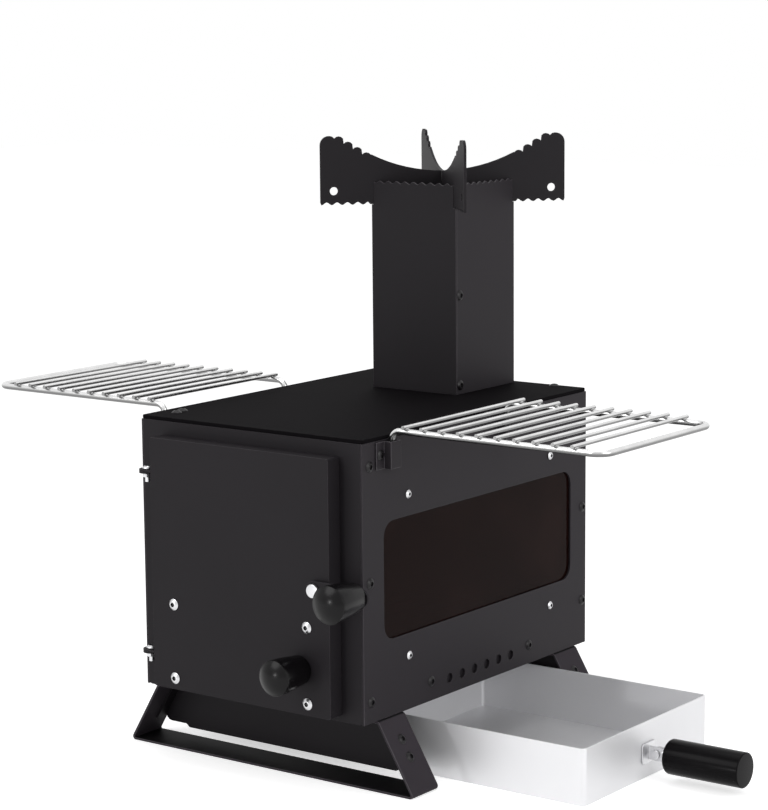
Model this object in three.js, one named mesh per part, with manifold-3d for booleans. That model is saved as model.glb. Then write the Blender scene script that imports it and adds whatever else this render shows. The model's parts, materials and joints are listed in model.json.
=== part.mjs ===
// Tent wood stove: a sheet-metal firebox on two bent feet, with a hinged front door,
// a rotary air control, a side window, a square flue that lifts off, a cross-lapped
// pot support, two wire side racks and a baking pan that slides in under the box.
// Millimetres, +X to the right, +Y to the back, +Z up. The stove is drawn from the
// middle of the firebox's front edge on the ground, and moved at the end so that the
// origin is the middle of the whole assembly's footprint.

import * as THREE from 'three';
import { mergeVertices } from 'three/addons/utils/BufferGeometryUtils.js';
import Module from 'manifold-3d';

const wasm = await Module();
wasm.setup();

// Sheet and fits
const gap = 0.3;
const sheet = 2;
const thinSheet = 1.5;
const screwHole = 2.4;
const screwShank = 1.9;
const spindle = 3.8;
const spindleHole = 4.2;

// Firebox
const box = { halfWidth: 120, depth: 344, bottom: 62, top: 302.5, lid: 3, bend: 3 };
const returnDepth = 18;
const cornerPost = 30;
const inside = box.halfWidth - sheet;
const frameHalf = inside - gap;
const frameTop = box.top - box.lid - gap;
const doorway = { halfWidth: 92, bottom: 72, top: 282, bend: 4 };
const sideWindow = { front: 29, back: 318.2, bottom: 128, top: 229.5, bend: 13 };
const glass = { thickness: 4, overlap: 7, inset: 3.7 };
const clamp = { bottom: 100, top: 257, lap: 4, bend: 8 };
const vents = { count: 6, first: 123.5, pitch: 19, height: 76, radius: 4.5 };
const windowScrews = { front: 64, back: 283, bottom: 109, top: 248 };
const grate = { halfWidth: 104, front: 30, back: 314, top: 94, margin: 19 };
const grateSlots = { columns: 8, pitch: 24, width: 8 };
const grateNotch = { pitch: 90, half: 30, top: 84, bend: 5 };

// Door, hinges and latch
const door = { halfWidth: 97, bottom: 67, top: 287, front: -16, back: -0.5, bend: 2 };
const hinge = { x: -107, y: -8, heights: { lower: 95.5, upper: 255.5 }, tab: 1.6, radius: 7.5 };
const hingeBolt = { radius: 2.4, hole: 2.7, head: 4.6, headHeight: 3, tail: 8, nutHeight: 3.4 };
const baffle = { halfWidth: 84, bottom: 70.5, top: 150, back: -4.5, lipFront: -14.2 };
const doorScrews = { x: 73, bottom: 77, top: 142.5 };
const doorVents = { count: 5, pitch: 24, length: 14, width: 5, y: -8 };
const airControl = { x: 65, z: 105.5, disc: 16, discBack: -7.2 };
const airPort = { inner: 5.5, outer: 13.5, starts: [5, 185], sweep: 80 };
const latch = { x: 84, z: 176.3, width: 16, tip: 131.8, knob: 126, front: -20, tongueBack: 4.9 };
const tongue = { width: 12, length: 24 };
const latchStud = { head: 6.5, headHeight: 3.2, bevel: 2, length: 30, washer: 7, nut: 6, nutHeight: 4 };
const buttonHead = { radius: 5, height: 3, round: 5.6, edge: 27 };
const knob = { base: 12.5, brow: 15.5, length: 39.7, bore: 4.1, boreDepth: 20, dome: 6, spare: 2 };

// Flue and pot support
const flue = { half: 47, y: 287, top: 494, lap: 12, lapDrop: 6, wavePitch: 9.3, waveDepth: 2.2 };
const collar = { half: 43.2, bottom: 290, top: 325, bend: 1 };
const collarFlange = { half: 56, front: 232, back: 336, notch: 4 };
const potPlate = { thickness: 2.5, slot: 3.5, seatDepth: 22, reach: 114 };
const plateHole = { x: 101.5, z: 484.7, radius: 3.8 };
const plateWave = { start: 69.9, count: 4.5, pitch: 9.6, depth: 2.6, drop: 0.4 };
const crown = { radius: 8.5, x: 105.5, z: 526.5, sweep: 110 };
const steps = { count: 4, x: 96.5, z: 529.8, pitch: 8.5, drop: 5, radius: 4.8, open: 35 };
const saddle = { low: 502, rise: 15.5, half: 66 };

// Side racks
const rack = { y: 121, halfSpan: 85, rod: 2.8, x: 124.2, outer: 329.4, height: 306.3, foot: 276.6 };
const rackBend = { shoulder: 9, corner: 13 };
const bars = { count: 10, first: 139, pitch: 18.2, radius: 1.75, halfLength: 90, sink: 0.4 };
const sleeve = { floor: 275, top: 298, depth: 7.1, wall: 1.1, halfWidth: 6, flange: 12 };

// Feet
const foot = { front: 18, width: 37, halfRun: 158, halfTop: 121, flangeEnd: 90, bend: 3 };
const apron = { back: 52, bottom: 10, end: 13, stepX: 125, stepRun: 3, flange: 14, corner: 6 };
const apronEar = { above: 4, below: 3 };

// Baking pan and its handle
const pan = { left: 42, right: 282, front: 84, back: 288, height: 49, wall: 1.5, corner: 5 };
const panHandle = { y: 186, z: 22, pivot: 292, ear: 5.7, collar: 299, grip: 303, end: 382, radius: 15.5 };
const bracket = { halfWidth: 11, halfHeight: 9, bend: 3 };
const tang = { collar: 7, radius: 3, length: 36, spare: 2 };
const pivotPin = { radius: 2, head: 4, headHeight: 1.6, bevel: 0.6 };

// The footprint whose middle is the origin
const footprint = {
  left: -(rack.outer + rack.rod),
  right: panHandle.end,
  front: latch.front - gap - knob.length,
  back: flue.y + (potPlate.reach + potPlate.thickness / 2) / Math.SQRT2,
};

const finishes = {
  blackPaint: { color: 0x2b2a2c, roughness: 0.55, metalness: 0.2 },
  sidePaint: { color: 0x363537, roughness: 0.5, metalness: 0.2 },
  plainSteel: { color: 0x55555a, roughness: 0.5, metalness: 0.8 },
  zinc: { color: 0xc9cacd, roughness: 0.3, metalness: 1 },
  chrome: { color: 0xdedfe2, roughness: 0.15, metalness: 1 },
  phenolic: { color: 0x141315, roughness: 0.35, metalness: 0 },
  panMetal: { color: 0xdcdcde, roughness: 0.35, metalness: 0.9 },
  clearGlass: { color: 0xcfd6d8, roughness: 0.05, metalness: 0 },
};

// ---- Outlines: lists of [x, y] points ----

// A line with its corners rounded; radius is one number or one for each point.
function filleted(points, radius, { closed = true, stops = 4 } = {}) {
  const corners = points.map(([x, y, z = 0]) => new THREE.Vector3(x, y, z));
  const flat = points[0].length === 2;
  const line = [];
  corners.forEach((corner, i) => {
    const size = Array.isArray(radius) ? radius[i] : radius;
    const isEnd = !closed && (i === 0 || i === corners.length - 1);
    if (isEnd || size === 0) {
      line.push(corner);
      return;
    }
    const back = corners.at(i - 1).clone().sub(corner).normalize();
    const ahead = corners[(i + 1) % corners.length].clone().sub(corner).normalize();
    const half = back.angleTo(ahead) / 2;
    const middle = back.clone().add(ahead).normalize().multiplyScalar(size / Math.sin(half)).add(corner);
    const spoke = back.clone().multiplyScalar(size / Math.tan(half)).add(corner).sub(middle);
    const axis = new THREE.Vector3().crossVectors(ahead, back).normalize();
    for (let k = 0; k <= stops; k++) {
      const turn = (Math.PI - 2 * half) * (k / stops);
      line.push(spoke.clone().applyAxisAngle(axis, turn).add(middle));
    }
  });
  return line.map((p) => (flat ? [p.x, p.y] : p));
}

function rectangle(x0, y0, x1, y1, radius = 0) {
  return filleted([[x0, y0], [x1, y0], [x1, y1], [x0, y1]], radius);
}

function arc(x, y, radius, from, to, stops) {
  return Array.from({ length: stops + 1 }, (_, k) => {
    const angle = THREE.MathUtils.degToRad(from + (to - from) * (k / stops));
    return [x + radius * Math.cos(angle), y + radius * Math.sin(angle)];
  });
}

function circle(x, y, radius, sides = 16) {
  return arc(x, y, radius, 0, 360, sides).slice(0, -1);
}

// A straight slot with round ends, running from one point to another.
function slot([x0, y0], [x1, y1], radius, stops = 4) {
  const heading = THREE.MathUtils.radToDeg(Math.atan2(y1 - y0, x1 - x0));
  return [
    ...arc(x1, y1, radius, heading - 90, heading + 90, stops),
    ...arc(x0, y0, radius, heading + 90, heading + 270, stops),
  ];
}

function sector(x, y, inner, outer, from, to) {
  return [...arc(x, y, outer, from, to, 8), ...arc(x, y, inner, to, from, 5)];
}

// The cut edge of a bent sheet: the line, and the same line one thickness to its right.
function sheetOutline(line, thickness) {
  const normals = line.slice(1).map(([x, y], i) => {
    return new THREE.Vector2(y - line[i][1], line[i][0] - x).normalize();
  });
  const far = line.map(([x, y], i) => {
    const before = normals[Math.max(i - 1, 0)];
    const after = normals[Math.min(i, normals.length - 1)];
    const miter = before.clone().add(after).multiplyScalar(thickness / (1 + before.dot(after)));
    return [x + miter.x, y + miter.y];
  });
  return [...line, ...far.reverse()];
}

const mirrored = (points) => points.map(([x, y]) => [-x, y]).reverse();

// ---- Solids ----

function shapeOf(outline, holes = []) {
  const shape = new THREE.Shape(outline.map(([x, y]) => new THREE.Vector2(x, y)));
  shape.holes = holes.map((hole) => new THREE.Path(hole.map(([x, y]) => new THREE.Vector2(x, y))));
  return shape;
}

// A closed solid from any closed geometry, with its faces pointing out.
function solid(geometry) {
  const bare = geometry.clone();
  bare.deleteAttribute('normal');
  bare.deleteAttribute('uv');
  const merged = mergeVertices(bare, 1e-4);
  const places = merged.attributes.position.array;
  const corners = merged.index.array;
  const triangles = [];
  const [a, b, c] = [new THREE.Vector3(), new THREE.Vector3(), new THREE.Vector3()];
  let volume = 0;
  for (let i = 0; i < corners.length; i += 3) {
    const [p, q, r] = corners.slice(i, i + 3);
    if (p === q || q === r || r === p) {
      continue;
    }
    triangles.push([p, q, r]);
    volume += a.fromArray(places, 3 * p).dot(b.fromArray(places, 3 * q).cross(c.fromArray(places, 3 * r)));
  }
  const outward = volume > 0 ? triangles : triangles.map(([p, q, r]) => [p, r, q]);
  return new wasm.Manifold(new wasm.Mesh({
    numProp: 3,
    vertProperties: places,
    triVerts: Uint32Array.from(outward.flat()),
  }));
}

function extruded(outline, depth, holes) {
  return new THREE.ExtrudeGeometry(shapeOf(outline, holes), { depth, bevelEnabled: false, steps: 1 });
}

// Extrusions along each axis: the outline is drawn in (Y, Z), (X, Z) or (X, Y).
function alongX(outline, x0, x1, holes) {
  const turn = new THREE.Matrix4().makeBasis(
    new THREE.Vector3(0, 1, 0), new THREE.Vector3(0, 0, 1), new THREE.Vector3(1, 0, 0));
  return solid(extruded(outline, x1 - x0, holes).applyMatrix4(turn).translate(x0, 0, 0));
}

function alongY(outline, y0, y1, holes) {
  return solid(extruded(outline, y1 - y0, holes).rotateX(Math.PI / 2).translate(0, y1, 0));
}

function alongZ(outline, z0, z1, holes) {
  return solid(extruded(outline, z1 - z0, holes).translate(0, 0, z0));
}

// A turned piece: profile points are [radius, distance along the axis from the place].
function turned(profile, place, axis, sides = 16) {
  const points = profile.map(([radius, distance]) => new THREE.Vector2(radius, distance));
  const upright = new THREE.Vector3(0, 1, 0);
  const aim = new THREE.Quaternion().setFromUnitVectors(upright, new THREE.Vector3(...axis));
  const geometry = new THREE.LatheGeometry(points, sides).applyQuaternion(aim);
  return solid(geometry.translate(...place));
}

// A rod along a line of points, with one ring of the rod's section at each point.
class BentRod extends THREE.Curve {
  constructor(stations) {
    super();
    this.stations = stations;
  }

  station(u) {
    return Math.round(u * (this.stations.length - 1));
  }

  getPointAt(u, target = new THREE.Vector3()) {
    return target.copy(this.stations[this.station(u)]);
  }

  getTangentAt(u, target = new THREE.Vector3()) {
    const i = this.station(u);
    const here = this.stations[i];
    const arriving = here.clone().sub(this.stations[i - 1] ?? here).normalize();
    const leaving = (this.stations[i + 1] ?? here).clone().sub(here).normalize();
    return target.copy(arriving.add(leaving).normalize());
  }
}

function rod(stations, radius, sides = 8) {
  const extrudePath = new BentRod(stations);
  const section = shapeOf(circle(0, 0, radius, sides));
  return solid(new THREE.ExtrudeGeometry(section, { extrudePath, steps: stations.length - 1 }));
}

const join = (...pieces) => pieces.reduce((whole, piece) => whole.add(piece));
const cut = (piece, ...tools) => tools.reduce((rest, tool) => rest.subtract(tool), piece);

function meshOf(name, piece, finish) {
  const { vertProperties, triVerts } = piece.getMesh();
  const geometry = new THREE.BufferGeometry();
  geometry.setAttribute('position', new THREE.BufferAttribute(vertProperties, 3));
  geometry.setIndex(new THREE.BufferAttribute(triVerts, 1));
  geometry.computeVertexNormals();
  const mesh = new THREE.Mesh(geometry, new THREE.MeshStandardMaterial(finish));
  mesh.name = name;
  return mesh;
}

// ---- Firebox ----

function basePlate() {
  const flangeTop = box.bottom + cornerPost;
  const trough = filleted([
    [-frameHalf, flangeTop], [-frameHalf, box.bottom], [frameHalf, box.bottom], [frameHalf, flangeTop],
  ], box.bend, { closed: false });
  return alongY(sheetOutline(trough.reverse(), sheet), sheet + gap, box.depth - sheet - gap);
}

function sidePanel(inner, outer, holes) {
  const ventHoles = Array.from({ length: vents.count }, (_, k) => {
    return circle(vents.first + k * vents.pitch, vents.height, vents.radius, 12);
  });
  return alongX(rectangle(0, box.bottom, box.depth, frameTop), inner, outer, [...ventHoles, ...holes]);
}

function windowScrewPlaces() {
  const { front, back, bottom, top } = windowScrews;
  return {
    lower_front: [front, bottom],
    lower_rear: [back, bottom],
    upper_front: [front, top],
    upper_rear: [back, top],
  };
}

function rightPanel() {
  const { front, back, bottom, top, bend } = sideWindow;
  const opening = rectangle(front, bottom, back, top, bend);
  const screws = Object.values(windowScrewPlaces()).map(([y, z]) => circle(y, z, screwHole, 12));
  return sidePanel(inside, box.halfWidth, [opening, ...screws]);
}

// The returns folded back inside the side panels, above the base plate's flanges.
function sideReturns(y0, y1) {
  const low = box.bottom + cornerPost + 2 * gap;
  const post = rectangle(frameHalf - sheet, low, frameHalf, frameTop);
  return join(alongY(post, y0, y1), alongY(mirrored(post), y0, y1));
}

function crossReturn(x0, x1, bottom, y0, y1) {
  return alongY(rectangle(x0, bottom, x1, bottom + sheet), y0, y1);
}

// A tab bent out of the door frame under each of the door's own tabs.
function frameTab(height) {
  const { x, y, radius, tab } = hinge;
  const outline = [...arc(x, y, radius, 180, 360, 10), [x + radius, sheet / 2], [x - radius, sheet / 2]];
  return alongZ(outline, height - tab, height, [circle(x, y, hingeBolt.hole)]);
}

function frontFrame() {
  const half = frameHalf;
  const returnHalf = half - box.bend - gap;
  const { halfWidth, bottom, top, bend } = doorway;
  const face = filleted(
    [[-half, box.bottom], [half, box.bottom], [half, frameTop], [-half, frameTop]],
    [box.bend, box.bend, 0, 0],
  );
  const opening = rectangle(-halfWidth, bottom, halfWidth, top, bend);
  const back = sheet + returnDepth;
  return join(
    alongY(face, 0, sheet, [opening]),
    sideReturns(sheet / 2, back),
    crossReturn(-half, half, frameTop - sheet, sheet / 2, back),
    crossReturn(-returnHalf, returnHalf, box.bottom + sheet + gap, sheet / 2, back),
    ...Object.values(hinge.heights).map(frameTab),
  );
}

function rearPanel() {
  const half = frameHalf;
  const returnHalf = half - box.bend - gap;
  const face = filleted(
    [[-half, box.bottom], [half, box.bottom], [half, frameTop], [-half, frameTop]],
    [box.bend, box.bend, 0, 0],
  );
  const back = box.depth;
  const front = back - sheet - returnDepth;
  const notch = collarFlange.half + collarFlange.notch;
  return join(
    alongY(face, back - sheet, back),
    sideReturns(front, back - sheet / 2),
    crossReturn(notch, half, frameTop - sheet, front, back - sheet / 2),
    crossReturn(-half, -notch, frameTop - sheet, front, back - sheet / 2),
    crossReturn(-returnHalf, returnHalf, box.bottom + sheet + gap, front, back - sheet / 2),
  );
}

function topPlate() {
  const hole = collar.half + gap;
  return alongZ(
    rectangle(-box.halfWidth, 0, box.halfWidth, box.depth, box.bend),
    box.top - box.lid, box.top,
    [rectangle(-hole, flue.y - hole, hole, flue.y + hole)],
  );
}

function flueCollar() {
  const { half, bend, bottom, top } = collar;
  const { half: flange, front, back } = collarFlange;
  const bore = half - thinSheet;
  const passage = rectangle(-bore, flue.y - bore, bore, flue.y + bore);
  const tube = rectangle(-half, flue.y - half, half, flue.y + half, bend);
  const plate = rectangle(-flange, front, flange, back, box.bend);
  return join(
    alongZ(tube, bottom, top, [passage]),
    alongZ(plate, frameTop - thinSheet, frameTop, [passage]),
  );
}

function windowGlass() {
  const { front, back, bottom, top } = sideWindow;
  const outer = inside - gap;
  return alongX(
    rectangle(front - glass.overlap, bottom - glass.overlap, back + glass.inset, top + glass.overlap),
    outer - glass.thickness, outer,
  );
}

function windowClamp() {
  const front = sideWindow.front - glass.overlap;
  const back = sideWindow.back + glass.inset;
  const outer = inside - gap;
  const face = outer - glass.thickness - gap;
  const { bottom, top, lap, bend } = clamp;
  const view = rectangle(
    sideWindow.front + lap, sideWindow.bottom + lap, sideWindow.back - lap, sideWindow.top - lap, bend);
  const screws = Object.values(windowScrewPlaces()).map(([y, z]) => circle(y, z, screwHole, 12));
  return join(
    alongX(rectangle(front, bottom, back, top), face - thinSheet, face, [view, ...screws]),
    alongX(rectangle(front, bottom, back, bottom + thinSheet), face - thinSheet, outer),
    alongX(rectangle(front, top - thinSheet, back, top), face - thinSheet, outer),
  );
}

// A slotted sheet on its own folded legs, notched so that air from the vents passes under it.
function fireGrate() {
  const { halfWidth, front, back, top, margin } = grate;
  const { columns, pitch, width } = grateSlots;
  const floor = box.bottom + sheet + gap;
  const corners = [[-halfWidth, floor], [-halfWidth, top], [halfWidth, top], [halfWidth, floor]];
  const arch = filleted(corners, box.bend, { closed: false });
  const middle = (front + back) / 2;
  const slotTools = [];
  for (let k = 0; k < columns; k++) {
    const x = (k - (columns - 1) / 2) * pitch;
    for (const [from, to] of [[front + margin, middle - margin / 2], [middle + margin / 2, back - margin]]) {
      slotTools.push(alongZ(slot([x, from], [x, to], width / 2, 3), floor, top + sheet));
    }
  }
  const notches = [-1, 0, 1].map((k) => {
    const y = middle + k * grateNotch.pitch;
    const [near, far] = [y - grateNotch.half, y + grateNotch.half];
    const low = floor - sheet;
    const outline = [[near, low], [near, grateNotch.top], [far, grateNotch.top], [far, low]];
    const { bend } = grateNotch;
    return alongX(filleted(outline, [0, bend, bend, 0]), -halfWidth - sheet, halfWidth + sheet);
  });
  return cut(alongY(sheetOutline(arch, thinSheet), front, back), ...slotTools, ...notches);
}

// A button-head screw whose head sits on the face at the place, pointing along the axis.
function buttonScrew(place, axis, length) {
  const { radius, height, round, edge } = buttonHead;
  const dome = arc(0, gap + height - round, round, edge, 90, 3).slice(0, -1);
  return turned([
    [0, -length], [screwShank, -length], [screwShank, gap], [radius, gap],
    ...dome, [0, gap + height],
  ], place, axis, 12);
}

// ---- Door ----

function doorTab(height) {
  const { x, y, radius, tab } = hinge;
  const root = -door.halfWidth + thinSheet / 2;
  const bottom = height + gap;
  const outline = [...arc(x, y, radius, 90, 270, 10), [root, y - radius], [root, y + radius]];
  return alongZ(outline, bottom, bottom + tab, [circle(x, y, hingeBolt.hole)]);
}

function doorScrewPlaces() {
  const { x, bottom, top } = doorScrews;
  return {
    lower_left: [-x, bottom],
    lower_right: [x, bottom],
    upper_left: [-x, top],
    upper_right: [x, top],
  };
}

function doorPan() {
  const { halfWidth, bottom, top, front, back, bend } = door;
  const inner = halfWidth - thinSheet;
  const holes = [
    ...Object.values(doorScrewPlaces()).map(([x, z]) => circle(x, z, screwHole, 12)),
    circle(airControl.x, airControl.z, spindleHole),
    circle(latch.x, latch.z, spindleHole),
  ];
  const ventSlots = Array.from({ length: doorVents.count }, (_, k) => {
    const x = (k - (doorVents.count - 1) / 2) * doorVents.pitch;
    const run = doorVents.length / 2;
    const outline = slot([x - run, doorVents.y], [x + run, doorVents.y], doorVents.width / 2, 3);
    return alongZ(outline, bottom - sheet, bottom + sheet);
  });
  const shell = cut(
    alongY(rectangle(-halfWidth, bottom, halfWidth, top, bend), front, back, holes),
    alongY(rectangle(-inner, bottom + thinSheet, inner, top - thinSheet), front + thinSheet, back + sheet),
    ...ventSlots,
  );
  return join(shell, ...Object.values(hinge.heights).map(doorTab));
}

function portAt(from) {
  const { x, z } = airControl;
  return sector(x, z, airPort.inner, airPort.outer, from, from + airPort.sweep);
}

// A tray behind the door, open at its lower edge, that carries the air ports.
function doorBaffle() {
  const { halfWidth, bottom, top, back, lipFront } = baffle;
  const { x, z } = airControl;
  const corners = [[-halfWidth, bottom], [-halfWidth, top], [halfWidth, top], [halfWidth, bottom]];
  const hood = filleted(corners, sheet, { closed: false });
  const holes = [
    ...Object.values(doorScrewPlaces()).map(([sx, sz]) => circle(sx, sz, screwHole, 12)),
    circle(x, z, spindleHole),
    ...airPort.starts.map(portAt),
  ];
  return join(
    alongY(sheetOutline(hood, thinSheet), lipFront, back),
    alongY(rectangle(-halfWidth + 1, bottom, halfWidth - 1, top - 1), back - thinSheet, back, holes),
  );
}

function airShutter() {
  const { x, z, disc, discBack } = airControl;
  const discFront = discBack - thinSheet;
  const front = door.front - gap - knob.boreDepth + knob.spare;
  const tail = baffle.back + gap;
  const wheel = turned([
    [0, front], [spindle, front], [spindle, discFront], [disc, discFront],
    [disc, discBack], [spindle, discBack], [spindle, tail], [0, tail],
  ], [x, 0, z], [0, 1, 0], 20);
  const windows = airPort.starts.map((from) => alongY(portAt(from), discFront - 1, discBack + 1));
  return cut(wheel, ...windows);
}

// A flared knob with a shallow dome, on a blind bore; its base is at the place.
function flaredKnob(place) {
  const { base, brow, length, bore, boreDepth, dome } = knob;
  const edge = 3;
  const flank = [0, 0.3, 0.6, 0.85, 1].map((t) => {
    return [base + (brow - base) * Math.sin(t * Math.PI / 2), t * (length - dome)];
  });
  const crownArc = arc(0, 0, 1, 0, 90, 6).slice(1).map(([c, s]) => {
    return [(brow - edge) * c + edge * Math.sqrt(c), length - dome + dome * s];
  });
  const profile = [[0, boreDepth], [bore, boreDepth], [bore, 0], ...flank, ...crownArc];
  profile[profile.length - 1][0] = 0;
  return turned(profile, place, [0, -1, 0], 20);
}

function latchLever() {
  const { x, z, width, tip, knob: knobX, front } = latch;
  const end = knob.boreDepth - knob.spare;
  const stud = turned(
    [[0, -sheet / 2], [spindle, -sheet / 2], [spindle, end], [0, end]],
    [knobX, front, z], [0, -1, 0]);
  const arm = slot([x, z], [tip, z], width / 2, 8);
  return join(alongY(arm, front, front + sheet, [circle(x, z, spindleHole)]), stud);
}

function latchBolt() {
  const { head, headHeight, bevel, length } = latchStud;
  const end = -headHeight - gap;
  return turned([
    [0, end], [head - bevel, end], [head, end + bevel / 2], [head, -gap],
    [spindle, -gap], [spindle, length], [0, length],
  ], [latch.x, latch.front, latch.z], [0, 1, 0], 18);
}

function latchWasher() {
  const front = latch.front + sheet + gap;
  const thickness = door.front - gap - front;
  const { washer } = latchStud;
  return turned(
    [[spindleHole, 0], [washer, 0], [washer, thickness], [spindleHole, thickness], [spindleHole, 0]],
    [latch.x, front, latch.z], [0, 1, 0], 18);
}

function latchTongue() {
  const { x, z, tongueBack } = latch;
  const half = tongue.width / 2;
  const outline = slot([x, z], [x, z + tongue.length - 2 * half], half);
  return alongY(outline, tongueBack - sheet, tongueBack, [circle(x, z, spindleHole)]);
}

function latchNut() {
  const { x, z, tongueBack } = latch;
  const front = tongueBack + gap;
  const outline = circle(x, z, latchStud.nut, 6);
  return alongY(outline, front, front + latchStud.nutHeight, [circle(x, z, spindleHole)]);
}

function hingePin(height) {
  const { radius, head, headHeight, tail } = hingeBolt;
  const seat = height + gap + hinge.tab + gap;
  const foot = height - hinge.tab - tail;
  const end = seat + headHeight;
  const bevel = 1;
  return turned([
    [0, foot], [radius, foot], [radius, seat], [head, seat],
    [head, end - bevel], [head - bevel, end], [0, end],
  ], [hinge.x, hinge.y, 0], [0, 0, 1], 14);
}

function hingeNut(height) {
  const { x, y, tab } = hinge;
  const { head, hole, nutHeight } = hingeBolt;
  const top = height - tab - gap;
  return alongZ(circle(x, y, head, 6), top - nutHeight, top, [circle(x, y, hole)]);
}

// ---- Flue and pot support ----

// One flat face of the flue, with its waved rim: the outline runs from a0 to a1.
function waveFace(a0, a1) {
  const waves = Math.round((a1 - a0) / flue.wavePitch);
  const perWave = 6;
  const rim = Array.from({ length: waves * perWave + 1 }, (_, k) => {
    const dip = (1 - Math.cos(2 * Math.PI * (k / perWave))) * flue.waveDepth / 2;
    return [a1 + (a0 - a1) * (k / (waves * perWave)), flue.top - dip];
  });
  return [[a0, box.top + gap], [a1, box.top + gap], ...rim];
}

// The four slots, cut down the flue's corners, that the pot plates drop into.
function cornerSlots() {
  const width = potPlate.slot / 2;
  const over = 10;
  const reach = flue.half * Math.SQRT2 + over;
  return [1, -1].map((side) => {
    const bar = extruded(rectangle(-reach, -width, reach, width), potPlate.seatDepth + over);
    bar.rotateZ(side * Math.PI / 4).translate(0, flue.y, flue.top - potPlate.seatDepth);
    return solid(bar);
  });
}

function flueRearHalf() {
  const { half, y } = flue;
  const front = y - half + thinSheet + gap;
  const back = y + half;
  const side = waveFace(front, back);
  const shell = join(
    alongX(side, half - thinSheet, half),
    alongX(side, -half, -half + thinSheet),
    alongY(waveFace(-half, half), back - thinSheet, back),
  );
  return cut(shell, ...cornerSlots());
}

function flueFrontHalf() {
  const { half, y, lap, lapDrop } = flue;
  const front = y - half;
  const outer = half - thinSheet - gap;
  const flange = rectangle(outer - thinSheet, box.top + gap, outer, flue.top - lapDrop);
  const shell = join(
    alongY(waveFace(-half, half), front, front + thinSheet),
    alongY(flange, front + thinSheet / 2, front + thinSheet + lap),
    alongY(mirrored(flange), front + thinSheet / 2, front + thinSheet + lap),
  );
  return cut(shell, ...cornerSlots());
}

// Half of a pot plate's edge, from the middle of its foot, out along the waved lower
// edge, up the wing and back down the lobed steps to the saddle under the pot.
function plateEdge() {
  const foot = flue.top - potPlate.seatDepth + gap;
  const { start, count, pitch, depth, drop } = plateWave;
  const perWave = 6;
  const corner = 2;
  const wave = Array.from({ length: count * perWave + 1 }, (_, k) => {
    const rise = depth * (1 + Math.cos(2 * Math.PI * (k / perWave))) / 2;
    return [start + k * (pitch / perWave), foot - drop + rise];
  });
  const wingTop = arc(crown.x, crown.z, crown.radius, 0, crown.sweep, 7);
  const lobes = Array.from({ length: steps.count }, (_, k) => {
    const x = steps.x - k * steps.pitch;
    const z = steps.z - k * steps.drop;
    return arc(x, z, steps.radius, steps.open, 180 - steps.open, 4);
  });
  const saddleRadius = (saddle.half ** 2 + saddle.rise ** 2) / (2 * saddle.rise);
  const saddleAngle = THREE.MathUtils.radToDeg(Math.asin(saddle.half / saddleRadius));
  return [
    [0, foot], [start - corner, foot],
    ...wave,
    [potPlate.reach, foot + corner],
    ...wingTop,
    ...lobes.flat(),
    ...arc(0, saddle.low + saddleRadius, saddleRadius, -90 + saddleAngle, -90, 8),
  ];
}

function potSupportPlate(slotFrom) {
  const { thickness, slot: slotWidth } = potPlate;
  const { x, z, radius } = plateHole;
  const half = plateEdge();
  const outline = [...half, ...mirrored(half).slice(1, -1)];
  const foot = flue.top - potPlate.seatDepth + gap;
  const middle = (foot + saddle.low) / 2;
  const over = 5;
  const [low, high] = slotFrom === 'above' ? [middle, saddle.low + over] : [foot - over, middle + gap];
  return cut(
    alongY(outline, -thickness / 2, thickness / 2, [circle(x, z, radius), circle(-x, z, radius)]),
    alongY(rectangle(-slotWidth / 2, low, slotWidth / 2, high), -thickness, thickness),
  );
}

// ---- Side racks ----

function rackWire() {
  const { x, y, halfSpan, outer, height, foot, rod: radius } = rack;
  const { shoulder, corner } = rackBend;
  const [front, back] = [y - halfSpan, y + halfSpan];
  const line = filleted([
    [x, front, foot], [x, front, height], [outer, front, height],
    [outer, back, height], [x, back, height], [x, back, foot],
  ], [0, shoulder, corner, corner, shoulder, 0], { closed: false });
  const barHeight = height + radius + bars.radius - bars.sink;
  const rungs = Array.from({ length: bars.count }, (_, k) => {
    const bar = new THREE.CylinderGeometry(bars.radius, bars.radius, 2 * bars.halfLength, 8);
    return solid(bar.translate(bars.first + k * bars.pitch, y, barHeight));
  });
  return join(rod(line, radius), ...rungs);
}

// A pocket of folded sheet on the side panel; its flange points away from the rack's middle.
function rackSleeve(place, outward) {
  const { floor, top, depth, wall, halfWidth, flange } = sleeve;
  const face = box.halfWidth + gap;
  const plan = [
    [face, -halfWidth - flange], [face, -halfWidth], [face + depth, -halfWidth],
    [face + depth, halfWidth], [face, halfWidth],
  ];
  const outline = sheetOutline(plan, wall).map(([x, y]) => [x, place + outward * y]);
  const pocketHalf = halfWidth + wall;
  const floorPlate = rectangle(face, place - pocketHalf, face + depth + wall, place + pocketHalf);
  return join(alongZ(outline, floor, top), alongZ(floorPlate, floor, floor + wall));
}

// ---- Feet ----

function footStrip() {
  const { front, width, halfRun, halfTop, flangeEnd, bend } = foot;
  const top = box.bottom - gap;
  const line = filleted([
    [flangeEnd, top], [halfTop, top], [halfRun, 0], [-halfRun, 0], [-halfTop, top], [-flangeEnd, top],
  ], bend, { closed: false });
  return alongY(sheetOutline(line, sheet), front, front + width);
}

// The leg's inner face, one gap clear of it, at a given height.
function legInside(z) {
  const slope = (foot.halfRun - foot.halfTop) / (box.bottom - gap);
  return foot.halfRun - slope * z - (sheet + gap) * Math.hypot(1, slope);
}

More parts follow.
